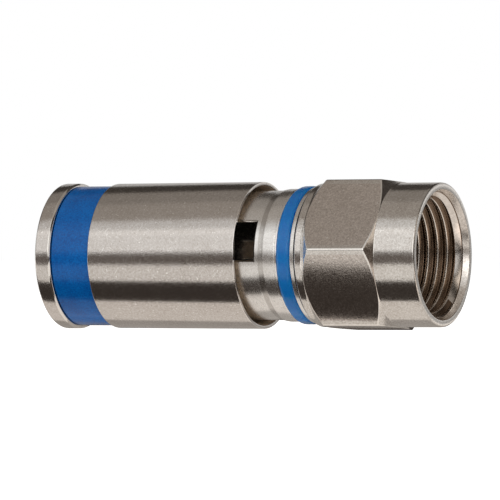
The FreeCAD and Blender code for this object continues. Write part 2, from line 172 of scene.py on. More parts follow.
# %% [markdown]
# ## Turned pieces: once round the axis
#
# The lathe's work is one loop: the profile's points are put at every angle, and each column is
# joined to the next. With 192 columns an 11 mm barrel departs from a true circle by less than a
# thousandth of a millimetre.

# %% Carry a profile round the axis
SEGMENTS = 192


def turned(name, corners, steps=4):
    """Ring-shaped piece turned from a closed profile."""
    profile = rounded(corners, steps)
    rows = len(profile)
    points = []
    for number in range(SEGMENTS):
        angle = math.tau * number / SEGMENTS
        points += [around(station, radius, angle) for station, radius in profile]
    faces = []
    for number in range(SEGMENTS):
        here = number * rows
        there = (number + 1) % SEGMENTS * rows
        for row in range(rows):
            following = (row + 1) % rows
            faces.append((here + row, there + row, there + following, here + following))
    piece = as_object(name, points, faces)
    finish_mesh(piece)
    return piece


print("columns round a turned piece:", SEGMENTS)

# %% [markdown]
# ## Finishes: patterns counted in millimetres
#
# Nickel plate is a warm grey metal. Under a close lens it isn't even: the cutter left fine rings
# round the axis, the plating bath left a soft grain, and handling left small specks and
# scratches. A picture of brushed metal could be wrapped round the part, but it would repeat and
# lose its scale. Noise in the part's own coordinates, counted in millimetres, keeps every mark at
# its real size on every piece.
#
# The rings come from a noise that is squeezed along the axis and hardly changes round it.

# %% A small kit for shader nodes
def new_material(name):
    """Material with its principled shader, its node tree and coordinates in millimetres."""
    material = bpy.data.materials.new(name)
    material.use_nodes = True
    tree = material.node_tree
    shader = tree.nodes["Principled BSDF"]
    place = tree.nodes.new("ShaderNodeTexCoord")
    in_mm = tree.nodes.new("ShaderNodeMapping")
    in_mm.inputs["Scale"].default_value = (1 / MM, 1 / MM, 1 / MM)
    tree.links.new(place.outputs["Object"], in_mm.inputs["Vector"])
    return material, tree, shader, in_mm.outputs["Vector"]


def noise(tree, where, per_mm, stretch=(1, 1, 1), detail=3, rough=0.55, slant=0):
    """Noise with so many features per mm, squeezed along each axis, on a slant about Y."""
    squeeze = tree.nodes.new("ShaderNodeMapping")
    squeeze.vector_type = "TEXTURE"
    squeeze.inputs["Rotation"].default_value = (0, slant, 0)
    squeeze.inputs["Scale"].default_value = [1 / share for share in stretch]
    tree.links.new(where, squeeze.inputs["Vector"])
    texture = tree.nodes.new("ShaderNodeTexNoise")
    texture.inputs["Scale"].default_value = per_mm
    texture.inputs["Detail"].default_value = detail
    texture.inputs["Roughness"].default_value = rough
    tree.links.new(squeeze.outputs["Vector"], texture.inputs["Vector"])
    return texture.outputs["Fac"]


print("patterns are counted in mm:", round(1 / MM), "per metre")

# %% [markdown]
# ## Finishes: arithmetic on patterns
#
# A raw noise is a grey cloud. Small tools turn it into a mark: one keeps what lies above a
# threshold, one adds or multiplies patterns, one blends two colours by a pattern, and one presses
# a pattern into the surface, micrometres deep. The blend isn't held at its ends, so a pattern
# below zero makes the plate lighter than its own colour, as a sparkling crystal is.

# %% Tools for patterns
def spread(tree, value, low, high, to_low, to_high):
    """A value taken from one range to another, and held at its ends."""
    ranger = tree.nodes.new("ShaderNodeMapRange")
    ranger.inputs["From Min"].default_value = low
    ranger.inputs["From Max"].default_value = high
    ranger.inputs["To Min"].default_value = to_low
    ranger.inputs["To Max"].default_value = to_high
    tree.links.new(value, ranger.inputs["Value"])
    return ranger.outputs["Result"]


def combine(tree, operation, first, second):
    """Two values put together by plain arithmetic."""
    arithmetic = tree.nodes.new("ShaderNodeMath")
    arithmetic.operation = operation
    for socket, value in zip(arithmetic.inputs, (first, second)):
        if isinstance(value, (int, float)):
            socket.default_value = value
        else:
            tree.links.new(value, socket)
    return arithmetic.outputs["Value"]


def blend_colours(tree, amount, first, second):
    """From the first colour at 0 to the second at 1, and past either of them beyond that."""
    mixer = tree.nodes.new("ShaderNodeMix")
    mixer.data_type = "RGBA"
    mixer.clamp_factor = False
    for socket, value in ((mixer.inputs["A"], first), (mixer.inputs["B"], second)):
        if isinstance(value, tuple):
            socket.default_value = value + (1,)
        else:
            tree.links.new(value, socket)
    tree.links.new(amount, mixer.inputs["Factor"])
    return mixer.outputs["Result"]


def emboss(tree, shader, height, depth_um):
    """Relief of a given depth in micrometres."""
    bump = tree.nodes.new("ShaderNodeBump")
    bump.inputs["Strength"].default_value = 1
    bump.inputs["Distance"].default_value = depth_um * 1e-6
    tree.links.new(height, bump.inputs["Height"])
    tree.links.new(bump.outputs["Normal"], shader.inputs["Normal"])


print("tools: spread, combine, blend_colours, emboss")

# %% [markdown]
# ## Nickel: flecks, scratches and rubbed marks
#
# Dust and small pits show as light and dark flecks, and handling leaves thin scratches in two
# directions and duller rubbed marks. The light flecks and scratches are near-white, partly dust and
# partly painted glints. They could be painted by hand, but there are hundreds and no single one
# matters. A noise peaks here and there at random, and keeping only its highest peaks leaves
# separate flecks. The height of the threshold sets how few there are.

# %% Nickel: the marks of handling
# A mark begins to show at the first level of its noise, and is full at the second.
PIT = (0.70, 0.76)
DUST = (0.68, 0.74)
SCRATCH = (0.71, 0.76)
RUBBED = (0.71, 0.745)
RUBBED_SHARE = 0.6
SCRATCH_SLANTS = (0.55, -0.9)


def handling(tree, where, specks, glints):
    """Dark flecks, light flecks (dust and painted glints) with scratches, and rubbed marks."""
    dark_flecks = spread(tree, noise(tree, where, 5.5, detail=1), *PIT, 0, specks)
    dust = noise(tree, where, 6.2, stretch=(1, 1.1, 0.9), detail=1)
    dust_and_glint_flecks = spread(tree, dust, *DUST, 0, glints)
    for slant in SCRATCH_SLANTS:
        scratches = noise(tree, where, 1.0, stretch=(0.8, 3.0, 15), detail=1, slant=slant)
        dust_and_glint_flecks = combine(tree, "MAXIMUM", dust_and_glint_flecks,
                               spread(tree, scratches, *SCRATCH, 0, specks))
    strokes = noise(tree, where, 1.0, stretch=(0.9, 5.0, 9.0), detail=2)
    return dark_flecks, dust_and_glint_flecks, spread(tree, strokes, *RUBBED, 0, specks * RUBBED_SHARE)


print("scratches run in", len(SCRATCH_SLANTS), "directions")

# %% [markdown]
# ## Nickel: colour, roughness and relief
#
# The plate's colour lies between clean nickel and a browner shade, and stains, flecks and
# sparkling crystals push it to and fro. Its roughness varies a little, because an even one looks
# like plastic film. Its relief adds the cutter's rings to the bath's grain and sinks the pits.
# One function serves every nickel piece: they differ in how they were cut and handled, and some
# in a painted highlight or painted shade.

# %% Nickel plate, from satin to bright
NICKEL = (0.70, 0.665, 0.63)
NICKEL_SHADE = (0.50, 0.455, 0.415)
GLINT = (0.93, 0.91, 0.88)
MOST_STAIN = 0.55
PIT_DEPTH = 2.0
RING_STRETCH = (16, 0.35, 0.35)


def nickel(name, polish, rings, grain, specks, colour=NICKEL, shade=NICKEL_SHADE, sparkle=0.5,
           glints=0.8):
    """Nickel plate: polish is its roughness, rings and grain are reliefs in micrometres."""
    material, tree, shader, where = new_material(name)
    shader.inputs["Metallic"].default_value = 1
    clouds = noise(tree, where, 0.35, detail=4)
    mottling = noise(tree, where, 2.6, detail=5, rough=0.65)
    cutter = noise(tree, where, 1.0, stretch=RING_STRETCH, detail=4, rough=0.6)
    bath = noise(tree, where, 8.0, detail=3, rough=0.6)
    crystals = noise(tree, where, 6.5, detail=2, rough=0.8)
    dark_flecks, dust_and_glint_flecks, marks = handling(tree, where, specks, glints)

    stain = combine(tree, "MULTIPLY", spread(tree, clouds, 0.42, 0.72, 0, MOST_STAIN), mottling)
    worn = combine(tree, "ADD", stain, combine(tree, "ADD", dark_flecks, marks))
    worn = combine(tree, "ADD", worn, spread(tree, crystals, 0.32, 0.68, -sparkle, sparkle))
    worn = spread(tree, worn, -1, 1, -1, 1)
    plate = blend_colours(tree, worn, colour, shade)
    plate = blend_colours(tree, dust_and_glint_flecks, plate, GLINT)
    tree.links.new(plate, shader.inputs["Base Color"])

    unevenness = combine(tree, "ADD", spread(tree, mottling, 0.3, 0.7, -0.03, 0.03),
                         spread(tree, bath, 0.3, 0.7, -0.02, 0.03))
    roughness = combine(tree, "ADD", unevenness, polish)
    roughness = combine(tree, "ADD", roughness, spread(tree, marks, 0, 0.3, 0, 0.08))
    tree.links.new(roughness, shader.inputs["Roughness"])

    relief = combine(tree, "MULTIPLY", cutter, rings)
    relief = combine(tree, "ADD", relief, combine(tree, "MULTIPLY", bath, grain))
    relief = combine(tree, "SUBTRACT", relief, combine(tree, "MULTIPLY", dark_flecks, PIT_DEPTH))
    emboss(tree, shader, relief, depth_um=1)
    return material


sleeve_nickel = nickel("satin_nickel_sleeve", 0.16, rings=1.4, grain=4.5, specks=0.6,
                       colour=(0.66, 0.625, 0.595), sparkle=0.4)
nut_nickel = nickel("satin_nickel_nut", 0.16, rings=2.4, grain=4.5, specks=0.6,
                    colour=(0.72, 0.69, 0.655), sparkle=0.5)
flat_nickel = nickel("satin_nickel_flats", 0.18, rings=0.1, grain=6.0, specks=0.0,
                     colour=(0.67, 0.615, 0.57), sparkle=0.8)
# Lighter than the plate: a painted highlight on rims, lips, window edges and the nut's corners.
edge_highlight_nickel = nickel("painted_highlight_on_edges", 0.12, rings=0.2, grain=0.8, specks=0.2,
                     colour=(0.93, 0.90, 0.86), sparkle=0.1)
# Light colour on the crests: a painted highlight.
crest_nickel_painted_highlight = nickel("painted_highlight_on_the_crests", 0.26, rings=0.8, grain=1.2, specks=0.3,
                      colour=(0.95, 0.89, 0.82), sparkle=0)
# Dark brown: painted shade in the thread's grooves.
groove_nickel_painted_shade = nickel("painted_shade_in_the_grooves", 0.26, rings=1.5, grain=1.5, specks=0,
                       colour=(0.24, 0.17, 0.12), shade=(0.11, 0.075, 0.05), sparkle=0.2, glints=0)
# Lighter than the nut: painted light on the mouth's wall.
mouth_nickel_painted_light = nickel("painted_light_in_the_mouth", 0.22, rings=1.5, grain=4.0, specks=0.8,
                      colour=(0.84, 0.79, 0.74), sparkle=0.5)
# Lighter than the nut: painted light on the lead into the thread.
lead_nickel_painted_light = nickel("painted_light_on_the_thread_lead", 0.18, rings=1.5, grain=2.0, specks=0.5,
                     colour=(0.88, 0.83, 0.78), sparkle=0.3)
body_nickel = nickel("bright_nickel_body", 0.25, rings=2.2, grain=1.0, specks=0.1,
                     colour=(0.86, 0.845, 0.825), sparkle=0.2)
# Greyer than the body: painted shade on the taper.
taper_nickel_painted_shade = nickel("painted_shade_on_the_taper", 0.23, rings=1.5, grain=1.0, specks=0.1,
                      colour=(0.62, 0.60, 0.575), sparkle=0.2)
post_nickel = nickel("bright_nickel_post", 0.18, rings=1.0, grain=0.8, specks=0.4)
# Dull and yellowish, and lighter than the plate: painted light in the gap under the sleeve's rim.
bore_nickel_with_painted_light = nickel("dull_nickel_bore_with_painted_light", 0.55, rings=3.0, grain=1.5, specks=0.2,
                     colour=(0.90, 0.76, 0.61))
print("nodes in one nickel finish:", len(sleeve_nickel.node_tree.nodes))

# %% [markdown]
# ## Finishes: blue plastic, blue rubber, black rubber and the ferrule's plastic
#
# The colour band is a hard glossy plastic. The seal ring is a softer, lighter rubber, and it
# shows a broader highlight. Inside, the second seal and the grip ferrule are black. Each gets a
# faint cloud in its colour and a fine moulded grain, because a flat colour looks like paint on
# a screen.

# %% Plastics and rubbers
GLOW_REACH = (0.3, 0.6, 1.0)
SKIN_PER_MM = 9.0


def moulded(name, colour, shade, polish, grain, specular=0.5, glow_through=0):
    """Plastic or rubber: two close colours in clouds, a moulded grain, and light that passes in."""
    material, tree, shader, where = new_material(name)
    shader.inputs["Subsurface Weight"].default_value = glow_through
    shader.inputs["Subsurface Radius"].default_value = GLOW_REACH
    shader.inputs["Subsurface Scale"].default_value = MM
    clouds = noise(tree, where, 0.6, detail=4)
    dust = noise(tree, where, 7.0, detail=1)
    skin = noise(tree, where, SKIN_PER_MM, detail=3)
    tone = combine(tree, "ADD", spread(tree, clouds, 0.3, 0.7, 0, 0.7),
                   spread(tree, dust, 0.69, 0.74, 0, 0.8))
    tone = combine(tree, "ADD", tone, spread(tree, skin, 0.35, 0.65, -0.6, 0.6))
    tree.links.new(blend_colours(tree, tone, colour, shade), shader.inputs["Base Color"])
    shader.inputs["Specular IOR Level"].default_value = specular
    tree.links.new(spread(tree, skin, 0.3, 0.7, polish - 0.03, polish + 0.05),
                   shader.inputs["Roughness"])
    emboss(tree, shader, skin, grain)
    return material


band_blue = moulded("glossy_blue_band", (0.0, 0.12, 0.47), (0.0, 0.18, 0.63), 0.20, 6.0,
                    specular=0.33)
seal_blue = moulded("blue_seal_rubber", (0.005, 0.21, 0.64), (0.01, 0.245, 0.70), 0.20, 2.0,
                    specular=0.45, glow_through=0.6)
seal_black = moulded("black_seal_rubber", (0.012, 0.012, 0.013), (0.02, 0.02, 0.02), 0.45, 2.0)
ferrule_black = moulded("black_ferrule_plastic", (0.02, 0.02, 0.022), (0.03, 0.03, 0.032),
                        0.4, 3.0)
print("nodes in one moulded finish:", len(band_blue.node_tree.nodes))

# %% [markdown]
# ## Dressing a piece
#
# Each piece has to move with its body, stand for one imported solid and wear its finish. One call
# says all of it. A second helper lays a further finish on some faces, by where they lie and how
# they slope. Vertex paint could do that too, but a rule by station and radius follows the shape
# when it changes.

# %% Dress a piece, and finish a part of it
def dress(piece, material, body, node):
    """Give a piece its finish, its body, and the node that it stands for."""
    piece.data.materials.append(material)
    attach(piece, body)
    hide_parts(node)


def finish_where(piece, material, chosen):
    """A further finish on the faces that a test picks by place, radius and outward slope."""
    piece.data.materials.append(material)
    count = 0
    for face in piece.data.polygons:
        middle = face.center / MM
        radius = math.hypot(middle.y, middle.z)
        outward = (face.normal.y * middle.y + face.normal.z * middle.z) / radius
        if chosen(middle, radius, outward):
            face.material_index = len(piece.data.materials) - 1
            count += 1
    print(material.name, "on", count, "faces of", piece.name)


print("nodes to stand for:", len(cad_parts))

# %% [markdown]
# ## The compression sleeve
#
# The sleeve is one turned tube: a lip at the back, a groove for the colour band, and a thin
# barrel that flares a hair towards its front rim. A press tool drives it forward over the body.
# The rim and the lip have crisp broken edges, and the rest of the profile is plain.

# %% Sleeve
BARREL_RADIUS = 5.60
LIP_RADIUS = 5.64
RIM_RADIUS = 5.645
SLEEVE_BORE = 5.25
SLEEVE_REAR = -25.40
SLEEVE_FRONT = -8.40
GROOVE_REAR = -24.14
GROOVE_FRONT = -20.86
BAND_FLOOR = 5.16
LIP_CHAMFER = 0.13
RIM_BORE = 5.40
RIM_FLARE = 0.80
SEAT_FRONT = -19.20
SEAT_REAR = -24.60
SEAT_RADIUS = 4.75
ENTRY_BORE = 4.35

sleeve = turned("sleeve", [
    (SLEEVE_REAR, 4.60, 0.04),
    (SLEEVE_REAR, LIP_RADIUS, 0.14),
    (GROOVE_REAR - LIP_CHAMFER, LIP_RADIUS, 0.03),
    (GROOVE_REAR, LIP_RADIUS - LIP_CHAMFER, 0.03),
    (GROOVE_REAR, BAND_FLOOR, 0),
    (GROOVE_FRONT, BAND_FLOOR, 0),
    (GROOVE_FRONT, BARREL_RADIUS, 0.06),
    (SLEEVE_FRONT, RIM_RADIUS, 0.05),
    (SLEEVE_FRONT, RIM_BORE, 0.04),
    (SLEEVE_FRONT - RIM_FLARE, SLEEVE_BORE, 0.10),
    (SEAT_FRONT, SLEEVE_BORE, 0.05),
    (SEAT_FRONT, SEAT_RADIUS, 0.05),
    (SEAT_REAR, SEAT_RADIUS, 0.05),
    (SEAT_REAR, ENTRY_BORE, 0.05),
    (SLEEVE_REAR + 0.25, ENTRY_BORE, 0.05),
])
dress(sleeve, sleeve_nickel, "sleeve", "compression_sleeve")

# %% [markdown]
# ### The sleeve's bore and edges
#
# The plating bath hardly reaches the bore, so it is dull and yellowish; its colour is also lighter
# than the plate, painted light in the dark gap. The rim and the lip's edge get a lighter colour, a
# painted highlight. Three rules pick those faces out of the one mesh.

# %% Sleeve: bore and edges
finish_where(sleeve, bore_nickel_with_painted_light, lambda middle, radius, outward:
             radius < RIM_BORE - 0.01 and SEAT_FRONT < middle.x < SLEEVE_FRONT - 0.02)
finish_where(sleeve, edge_highlight_nickel, lambda middle, radius, outward:
             radius > RIM_RADIUS - 0.06 and middle.x > SLEEVE_FRONT - 0.06)
finish_where(sleeve, edge_highlight_nickel, lambda middle, radius, outward:
             radius > BAND_FLOOR + 0.2
             and GROOVE_REAR - LIP_CHAMFER - 0.03 < middle.x < GROOVE_REAR + 0.01)

# %% [markdown]
# ## The colour band
#
# A ring of blue plastic is snapped into the sleeve's groove and tells the fitter which cable the
# connector takes. It lies a little below the metal on both sides, with softly rounded edges.

# %% Colour band
BAND_RADIUS = 5.41
BAND_REAR = -24.11
BAND_FRONT = -20.88
band = turned("band", [
    (BAND_REAR, BAND_FLOOR, 0),
    (BAND_REAR, BAND_RADIUS, 0.16),
    (BAND_FRONT, BAND_RADIUS, 0.08),
    (BAND_FRONT, BAND_FLOOR, 0),
])
dress(band, band_blue, "sleeve", "colour_band")

# %% [markdown]
# ## The grip ferrule
#
# Inside the back of the sleeve sits a black plastic ferrule. Pressing drives its nose between the
# body's tube and the cable's jacket. It shows only from behind, as a dark ring with two grip
# grooves in its bore.

# %% Grip ferrule
JACKET_BORE = 3.85
NOSE_RADIUS = 4.25
NOSE_FRONT = -16.50
GRIP_DEPTH = 0.08
ferrule = turned("ferrule", [
    (SEAT_REAR, JACKET_BORE + 0.30, 0.05),
    (SEAT_REAR, SEAT_RADIUS, 0.04),
    (SEAT_FRONT, SEAT_RADIUS, 0.04),
    (SEAT_FRONT, NOSE_RADIUS, 0.05),
    (NOSE_FRONT - 0.60, NOSE_RADIUS, 0.15),
    (NOSE_FRONT, JACKET_BORE + 0.18, 0.05),
    (NOSE_FRONT, JACKET_BORE, 0.03),
    (-21.05, JACKET_BORE, 0.04),
    (-21.225, JACKET_BORE + GRIP_DEPTH, 0.04),
    (-21.40, JACKET_BORE, 0.04),
    (-22.65, JACKET_BORE, 0.04),
    (-22.825, JACKET_BORE + GRIP_DEPTH, 0.04),
    (-23.00, JACKET_BORE, 0.04),
    (-24.30, JACKET_BORE, 0.04),
])
dress(ferrule, ferrule_black, "sleeve", "grip_ferrule")

# %% [markdown]
# ## The post
#
# The post is the thin tube that slides under the cable's braid. Its barbs hold the braid, its
# land is pressed into the body, and its flange holds the nut from inside. Through the nut's
# mouth its face is the flat ring at the bottom.

# %% Post
POST_BORE = 2.45
TUBE_RADIUS = 2.80
BARB_RADIUS = 3.10
LAND_RADIUS = 3.30
FLANGE_RADIUS = 4.15
POST_TIP = -16.30
BARB_LENGTH = 1.10
FLANGE_BACK = -1.00
post = turned("post", [
    (POST_TIP, POST_BORE, 0.02),
    (POST_TIP, 2.55, 0.02),
    (POST_TIP + BARB_LENGTH, BARB_RADIUS, 0.03),
    (POST_TIP + BARB_LENGTH, TUBE_RADIUS, 0.05),
    (POST_TIP + 2 * BARB_LENGTH, BARB_RADIUS, 0.03),
    (POST_TIP + 2 * BARB_LENGTH, TUBE_RADIUS, 0.05),
    (-5.80, TUBE_RADIUS, 0.05),
    (-5.50, LAND_RADIUS, 0.05),
    (FLANGE_BACK, LAND_RADIUS, 0.05),
    (FLANGE_BACK, FLANGE_RADIUS, 0.03),
    (0, FLANGE_RADIUS, 0.12),
    (0, POST_BORE, 0.08),
], steps=3)
dress(post, post_nickel, "connector", "post")

# %% [markdown]
# ## The outer seal ring
#
# A blue rubber ring sits in a groove at the front of the body. When the sleeve is pressed home
# its rim comes up to this ring. The section is a rounded rectangle, so its crown catches a long
# soft highlight.

# %% Outer seal ring
SEAL_RADIUS = 5.30
SEAL_FLOOR = 4.55
SEAL_REAR = -5.00
SEAL_FRONT = -3.87
SEAL_ROUNDING = 0.62
seal_ring = turned("seal_ring", [
    (SEAL_REAR, SEAL_FLOOR, 0),
    (SEAL_REAR, SEAL_RADIUS, SEAL_ROUNDING),
    (SEAL_FRONT, SEAL_RADIUS, SEAL_ROUNDING),
    (SEAL_FRONT, SEAL_FLOOR, 0),
], steps=8)
dress(seal_ring, seal_blue, "connector", "outer_seal_ring")

# %% [markdown]
# ## The inner seal
#
# A small black ring inside the nut's lip keeps water off the post. It is out of sight in every
# view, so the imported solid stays, with the black rubber on it.

# %% Inner seal
inner_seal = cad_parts["inner_seal_ring"]
inner_seal.data.materials.clear()
inner_seal.data.materials.append(seal_black)
print("inner seal wears", inner_seal.material_slots[0].material.name)

# %% [markdown]
# ## The connector body, with its windows
#
# The body is turned too, but two windows are milled through its thin tube. A boolean cut could
# open them, and would leave long thin faces and no way to soften the edges. Instead the columns
# of the mesh are set so that some of them run exactly along the windows' sides, and stations
# along the axis so that two of them run along the ends. On either side of a window stands one
# more column, for its softened edge.

# %% Body: where the columns stand
TUBE_OUTSIDE = 4.97
TUBE_BORE = 4.35
WINDOW_HALF_WIDTH = 1.535
WINDOW_EDGE = 0.12
WINDOW_TURN = math.radians(13.7)
COLUMNS_IN_WINDOW = 14
COLUMNS_BETWEEN = 80


def window_columns():
    """Angles of the columns outside and inside the tube, and which of them lie in a window."""
    outer, inner, in_window = [], [], []
    side_outer = math.asin(WINDOW_HALF_WIDTH / TUBE_OUTSIDE)
    side_inner = math.asin(WINDOW_HALF_WIDTH / TUBE_BORE)
    edge_outer = WINDOW_EDGE / TUBE_OUTSIDE
    edge_inner = WINDOW_EDGE / TUBE_BORE
    stops = [
        (-side_outer - edge_outer, -side_inner - edge_inner, 1),
        (-side_outer, -side_inner, COLUMNS_IN_WINDOW),
        (side_outer, side_inner, 1),
        (side_outer + edge_outer, side_inner + edge_inner, COLUMNS_BETWEEN),
        (math.pi - side_outer - edge_outer, math.pi - side_inner - edge_inner, 0),
    ]
    for half_turn in (0, math.pi):
        for number in range(len(stops) - 1):
            from_outer, from_inner, parts = stops[number]
            to_outer, to_inner = stops[number + 1][:2]
            for part in range(parts):
                share = part / parts
                outer.append(WINDOW_TURN + half_turn + from_outer + share * (to_outer - from_outer))
                inner.append(WINDOW_TURN + half_turn + from_inner + share * (to_inner - from_inner))
                in_window.append(number == 1)
    return outer, inner, in_window


columns_outer, columns_inner, column_in_window = window_columns()
print("body columns:", len(columns_outer), "of which in windows:", sum(column_in_window))

# %% [markdown]
# ### The body's profile
#
# From the rear: a guide bead that the sleeve rides on, the thin tube, a taper up to the shoulder,
# a fine turned line, the seal's groove and the thin wall before it. The bore runs back the same
# way. The rows where the windows begin and end are counted, outside and inside.

# %% Body: profile
BODY_REAR = -15.60
BODY_FRONT = -3.52
BEAD_RADIUS = 5.20
BEAD_FRONT = BODY_REAR + 1.20
WINDOW_FRONT = -7.03
WINDOW_REAR = -9.765
SHOULDER_RADIUS = 5.09
SHOULDER_REAR = -6.10
TAPER_LENGTH = 0.54
GROOVE_BACK = -5.02
GROOVE_WALL = -3.85
FRONT_WALL_RADIUS = 5.25
NECK_BORE = 3.30
REAR_CHAMFER = 0.28

window_rows = [WINDOW_REAR - WINDOW_EDGE, WINDOW_REAR, WINDOW_FRONT, WINDOW_FRONT + WINDOW_EDGE]
bead = rounded([
    (BODY_REAR, BEAD_RADIUS, 0.25),
    (BEAD_FRONT, BEAD_RADIUS, 0.25),
    (BEAD_FRONT + 0.02, TUBE_OUTSIDE, 0.04),
], closed=False)
tube = [(station, TUBE_OUTSIDE) for station in window_rows]
shoulder = rounded([
    (SHOULDER_REAR - TAPER_LENGTH, TUBE_OUTSIDE, 0),
    (SHOULDER_REAR, SHOULDER_RADIUS, 0.12),
    (-5.28, SHOULDER_RADIUS, 0),
    (-5.23, SHOULDER_RADIUS - 0.035, 0),
    (-5.18, SHOULDER_RADIUS, 0),
    (GROOVE_BACK, SHOULDER_RADIUS, 0.07),
    (GROOVE_BACK, SEAL_FLOOR, 0),
    (GROOVE_WALL, SEAL_FLOOR, 0),
    (GROOVE_WALL, FRONT_WALL_RADIUS, 0.09),
    (BODY_FRONT, FRONT_WALL_RADIUS, 0.03),
    (BODY_FRONT, NECK_BORE, 0.04),
    (SHOULDER_REAR, NECK_BORE, 0),
    (SHOULDER_REAR, TUBE_BORE, 0),
], closed=False)
tube_bore = [(station, TUBE_BORE) for station in reversed(window_rows)]
rear = [(BODY_REAR + REAR_CHAMFER, TUBE_BORE), (BODY_REAR, TUBE_BORE + REAR_CHAMFER)]
body_profile = bead + tube + shoulder + tube_bore + rear

bore_begins = len(bead + tube + shoulder)
cut_outside = (len(bead) + 1, len(bead) + 2)
cut_inside = (bore_begins + 1, bore_begins + 2)
print("body rows:", len(body_profile), "cut outside and inside:", cut_outside, cut_inside)

# %% [markdown]
# ### Opening the windows
#
# The profile is put at every column, and at a window the rows beside the cut drop a little, which
# makes the softened edge that shines in the photograph. Then the faces are laid, leaving out
# those inside a window, and short walls close the cut at its ends and sides.

# %% Body: points, faces and walls
BODY_ROWS = len(body_profile)
BODY_COLUMNS = len(columns_outer)


def body_points():
    """Points of the body, sunk beside the windows."""
    points = []
    for column in range(BODY_COLUMNS):
        at_window = column_in_window[column] or column_in_window[column - 1]
        for row, (station, radius) in enumerate(body_profile):
            inside_tube = row >= bore_begins - 1
            angle = columns_inner[column] if inside_tube else columns_outer[column]
            if at_window and row in cut_outside:
                radius -= WINDOW_EDGE
            if at_window and row in cut_inside:
                radius += WINDOW_EDGE
            points.append(around(station, radius, angle))
    return points


def corner(column, row):
    """Number of the point at a column and a row."""
    return column % BODY_COLUMNS * BODY_ROWS + row % BODY_ROWS


def window_walls(column):
    """Walls that close the cut at one column of a window."""
    walls = []
    for row_out, row_in in zip(cut_outside, reversed(cut_inside)):
        walls.append((corner(column, row_out), corner(column + 1, row_out),
                      corner(column + 1, row_in), corner(column, row_in)))
    starts = not column_in_window[column - 1]
    ends = not column_in_window[(column + 1) % BODY_COLUMNS]
    for side, wanted in ((column, starts), (column + 1, ends)):
        if wanted:
            walls.append(tuple(corner(side, row) for row in cut_outside + cut_inside))
    return walls


body_faces = []
for column in range(BODY_COLUMNS):
    left_out = (cut_outside[0], cut_inside[0]) if column_in_window[column] else ()
    for row in range(BODY_ROWS):
        if row not in left_out:
            body_faces.append((corner(column, row), corner(column + 1, row),
                               corner(column + 1, row + 1), corner(column, row + 1)))
    if column_in_window[column]:
        body_faces += window_walls(column)
connector_body = as_object("body_with_windows", body_points(), body_faces)
finish_mesh(connector_body)
dress(connector_body, body_nickel, "connector", "connector_body")

# %% [markdown]
# ### The body's painted highlights and painted shade
#
# The windows' softened edges and the edge beside the seal get a lighter colour than the rest, a
# painted highlight. The taper gets a greyer colour, a painted shade.

# %% Body: finishes
def on_painted_highlight_edge(middle, radius, outward):
    """Whether a face is part of a window's softened edge, or a sharp edge beside the seal."""
    at_window = WINDOW_REAR - 0.1 < middle.x < WINDOW_FRONT + 0.1 and outward > 0.5
    sunk = TUBE_OUTSIDE - 0.1 < radius < TUBE_OUTSIDE - 0.02
    at_seal = -5.10 < middle.x < -5.00 and radius > SHOULDER_RADIUS - 0.1
    return (at_window and sunk) or at_seal


finish_where(connector_body, edge_highlight_nickel, on_painted_highlight_edge)
finish_where(connector_body, taper_nickel_painted_shade, lambda middle, radius, outward:
             TUBE_OUTSIDE < radius
             and SHOULDER_REAR - TAPER_LENGTH < middle.x < SHOULDER_REAR - 0.03)

# %% [markdown]
# ## The coupling nut: hexagon, chamfered corners and thread
#
# The nut starts as a hexagon bar. On the lathe its back becomes a round skirt and its front a
# round collar, and the sloping tool leaves the curved ends of the flats: where a cone meets a
# flat, the edge is a hyperbola. A boolean of a hexagon and a cone would give the same edge with
# ragged faces. Column by column it comes out clean: each column asks how far the hexagon reaches
# at its angle, and the cone ends exactly there.

# %% Nut: how far the hexagon reaches
FLAT_DISTANCE = 5.555
WORN_WIDTH = 0.14
NUT_TURN = math.radians(3.8)
SIXTH = math.pi / 3
worn_distance = FLAT_DISTANCE / math.cos(SIXTH / 2) - WORN_WIDTH / 2 * math.tan(SIXTH / 2)
worn_angle = math.atan2(WORN_WIDTH / 2, worn_distance)


def hexagon_reach(angle):
    """Distance from the axis to the hexagon, whose corners are worn to a very narrow flat."""
    off_corner = abs((angle - NUT_TURN + SIXTH / 2) % SIXTH - SIXTH / 2)
    return min(FLAT_DISTANCE / math.cos(SIXTH / 2 - off_corner),
               worn_distance / math.cos(off_corner))


nut_angles = []
worn_columns = (-2.2, -1.2, -0.8, -0.4, 0, 0.4, 0.8, 1.2, 2.2)
columns_on_flat = 30
for side in range(6):
    corner_angle = NUT_TURN + side * SIXTH
    nut_angles += [corner_angle + share * worn_angle for share in worn_columns]
    start = corner_angle + worn_columns[-1] * worn_angle
    width = SIXTH - 2 * worn_columns[-1] * worn_angle
    for step in range(1, columns_on_flat):
        nut_angles.append(start + width * step / columns_on_flat)
print("nut columns:", len(nut_angles), "corner reach %.3f mm" % hexagon_reach(NUT_TURN))

# %% [markdown]
# ### The thread
#
# The port's thread is fine: 32 turns to the inch, so 0.794 mm from crest to crest. A texture
# could fake it with stripes, but in the mouth the crests stand out against dark grooves and the
# first groove runs out into the countersink, which only real relief can show. Each column gets
# the thread's section, moved along the axis by its share of a turn. After one whole turn the
# section has moved by one pitch, so at the seam each row joins the row one pitch further on.

# %% Nut: the thread's section in one column
PITCH = 0.79375
CREST_RADIUS = 4.40
ROOT_RADIUS = 4.7625
CREST_WIDTH = 0.19
FLANK_LENGTH = (ROOT_RADIUS - CREST_RADIUS) * math.tan(math.radians(30))
THREAD_EASE = 0.03
FIRST_CREST = 5.70
NUT_FRONT = 6.60
MOUTH_FLOOR = 6.046
MOUTH_FLOOR_RADIUS = 4.77
LEAD_SLOPE = math.tan(math.radians(47))
TURNS_BEFORE = 10

